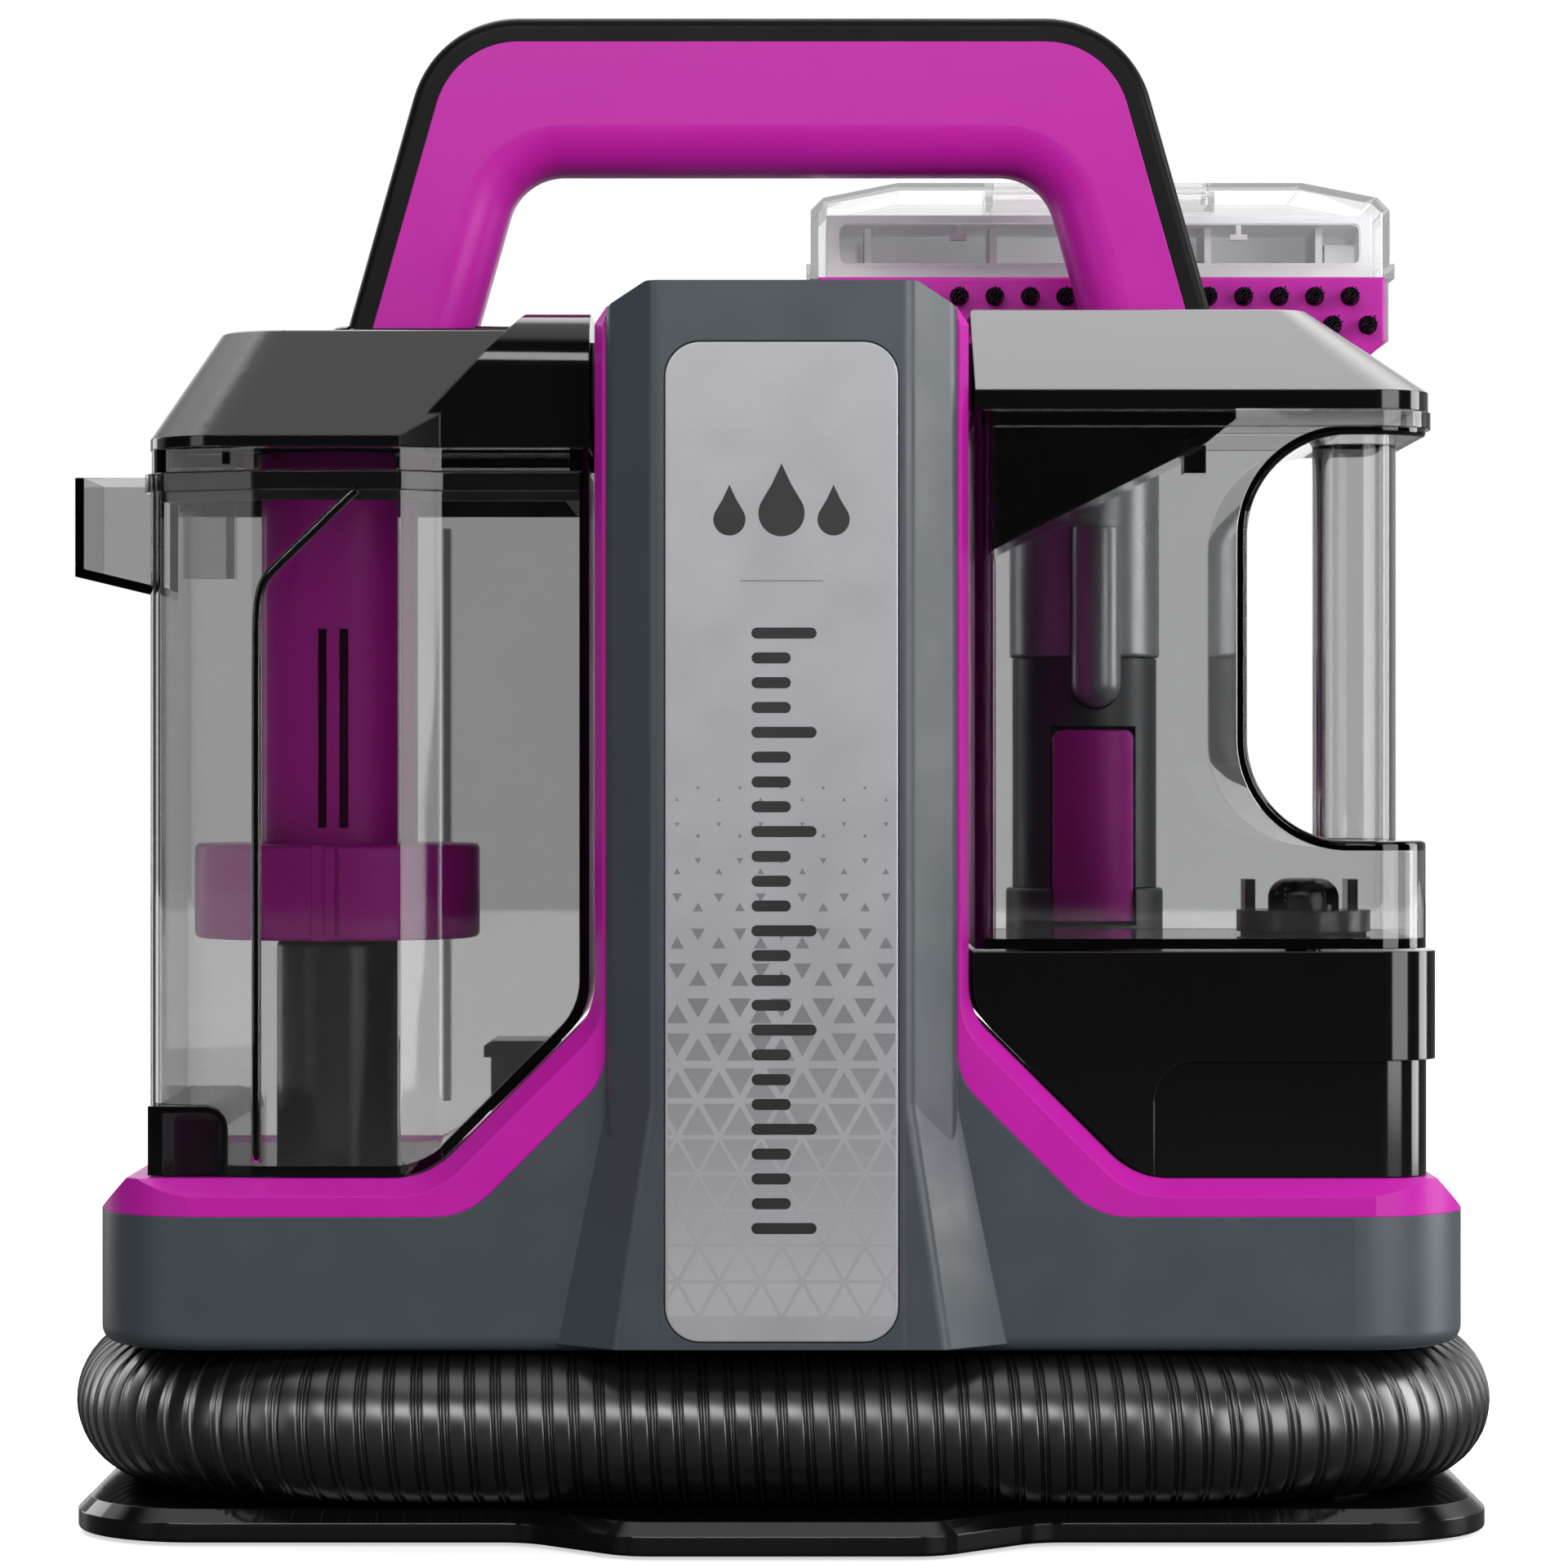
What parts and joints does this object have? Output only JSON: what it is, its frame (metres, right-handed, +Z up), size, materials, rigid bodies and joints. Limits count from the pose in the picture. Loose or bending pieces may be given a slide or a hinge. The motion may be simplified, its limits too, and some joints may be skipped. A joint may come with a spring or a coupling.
{
  "type": "carpet cleaner machine",
  "caption": "Portable spot cleaner: column and tub with clean and dirty water tanks, carry handle, docked brush tool and a suction hose wound round the base.",
  "frame": {"origin": "on the floor under the middle of the base plate", "axes": "+X to the machine's right seen from its front, +Y to its back, +Z up"},
  "size_m": [0.3674, 0.2341, 0.3904],
  "materials": {
    "slate_shell": "fine satin",
    "magenta_plastic": "satin",
    "black_gloss": "polished",
    "black_matte": "fine texture",
    "smoke_clear": "polished",
    "clear_plastic": "polished",
    "silver_label": "satin",
    "silver_plastic": "satin",
    "dark_grey_plastic": "fine texture",
    "black_rubber": "matt",
    "hose_black": "satin",
    "bristle_black": "matt",
    "grey_inner": "matt",
    "steel": "turned",
    "motor_metal": "zinc",
    "board_green": "lacquer",
    "silicone": "translucent"
  },
  "bodies": {
    "machine": {"base_plate": "black_gloss", "feet": "black_rubber", "hose_drum": "black_matte", "front_shell": "slate_shell", "rear_shell": "slate_shell", "trim_left": "magenta_plastic", "trim_right": "magenta_plastic", "label_panel": "silver_label", "top_panel": "black_gloss", "power_switch": "black_matte", "control_board": "board_green", "handle_spine": "black_matte", "handle_grip": "magenta_plastic", "handle_bridge": "black_gloss", "dirty_tank_seal": "black_rubber", "motor_housing": "black_gloss", "vent_screen": "black_rubber", "vacuum_motor": "motor_metal", "fan_shroud": "black_matte", "motor_mount": "black_rubber", "vacuum_duct": "black_matte", "inlet_duct": "black_matte", "water_pump": "black_matte", "water_tubes": "silicone", "hose_port": "black_matte", "port_cuff": "black_matte", "hose": "hose_black", "tool_dock": "black_matte", "tool_cuff": "dark_grey_plastic", "tool_handle": "dark_grey_plastic", "tool_neck": "silver_plastic", "spray_valve": "silver_plastic", "nozzle_throat": "silver_plastic", "nozzle_body": "silver_plastic", "nozzle_inner": "grey_inner", "nozzle_hood": "clear_plastic", "brush_plate": "magenta_plastic", "brush_tufts": "bristle_black", "spray_tip": "black_matte", "cord_gland": "black_rubber", "cord_cleat": "black_gloss", "fasteners": "steel"},
    "dirty_tank": {"dirty_tank": "smoke_clear", "float_guide": "black_matte"},
    "dirty_lid": {"dirty_lid": "black_gloss", "dirty_lid_ring": "smoke_clear", "dirty_lid_gasket": "black_rubber", "inlet_elbow": "black_matte", "inlet_tube": "magenta_plastic"},
    "float_ring": {"float_ring": "magenta_plastic"},
    "clean_tank": {"clean_tank": "clear_plastic", "tank_valve": "black_matte", "valve_spring": "steel", "valve_gasket": "black_rubber"},
    "clean_lid": {"clean_lid": "black_gloss"},
    "valve_plunger": {"valve_plunger": "black_matte"},
    "power_button": {"power_button": "magenta_plastic"},
    "tool_trigger": {"tool_trigger": "magenta_plastic"},
    "fan_rotor": {"vacuum_fan": "grey_inner", "motor_shaft": "steel"}
  },
  "joints": [
    {"name": "dirty_tank_lift", "type": "slide", "parent": "machine", "child": "dirty_tank", "axis": [0, 0, 1], "range_m": [0, 0.12]},
    {"name": "dirty_lid_lift", "type": "slide", "parent": "dirty_tank", "child": "dirty_lid", "axis": [0, 0, 1], "range_m": [0, 0.135]},
    {"name": "float_rise", "type": "slide", "parent": "dirty_lid", "child": "float_ring", "axis": [0, 0, 1], "range_m": [0, 0.06]},
    {"name": "clean_tank_lift", "type": "slide", "parent": "machine", "child": "clean_tank", "axis": [0, 0, 1], "range_m": [0, 0.12]},
    {"name": "clean_lid_lift", "type": "slide", "parent": "clean_tank", "child": "clean_lid", "axis": [0, 0, 1], "range_m": [0, 0.05]},
    {"name": "valve_plunger_press", "type": "slide", "parent": "clean_tank", "child": "valve_plunger", "axis": [0, 0, 1], "range_m": [0, 0.0025], "stiffness_N_per_m": 300, "springref_m": -0.002, "deforming": ["valve_spring"]},
    {"name": "power_button_press", "type": "slide", "parent": "machine", "child": "power_button", "axis": [0, 0, -1], "range_m": [0, 0.002], "stiffness_N_per_m": 400, "springref_m": -0.001},
    {"name": "trigger_squeeze", "type": "hinge", "parent": "machine", "child": "tool_trigger", "pos_m": [0.0857, 0.0776, 0.199], "axis": [1, 0, 0], "range_deg": [0, 4], "stiffness_Nm_per_rad": 0.6, "springref_deg": -5.73},
    {"name": "fan_spin", "type": "hinge", "parent": "machine", "child": "fan_rotor", "pos_m": [0.123, 0.018, 0.09], "axis": [0, 0, 1], "continuous": true}
  ]
}
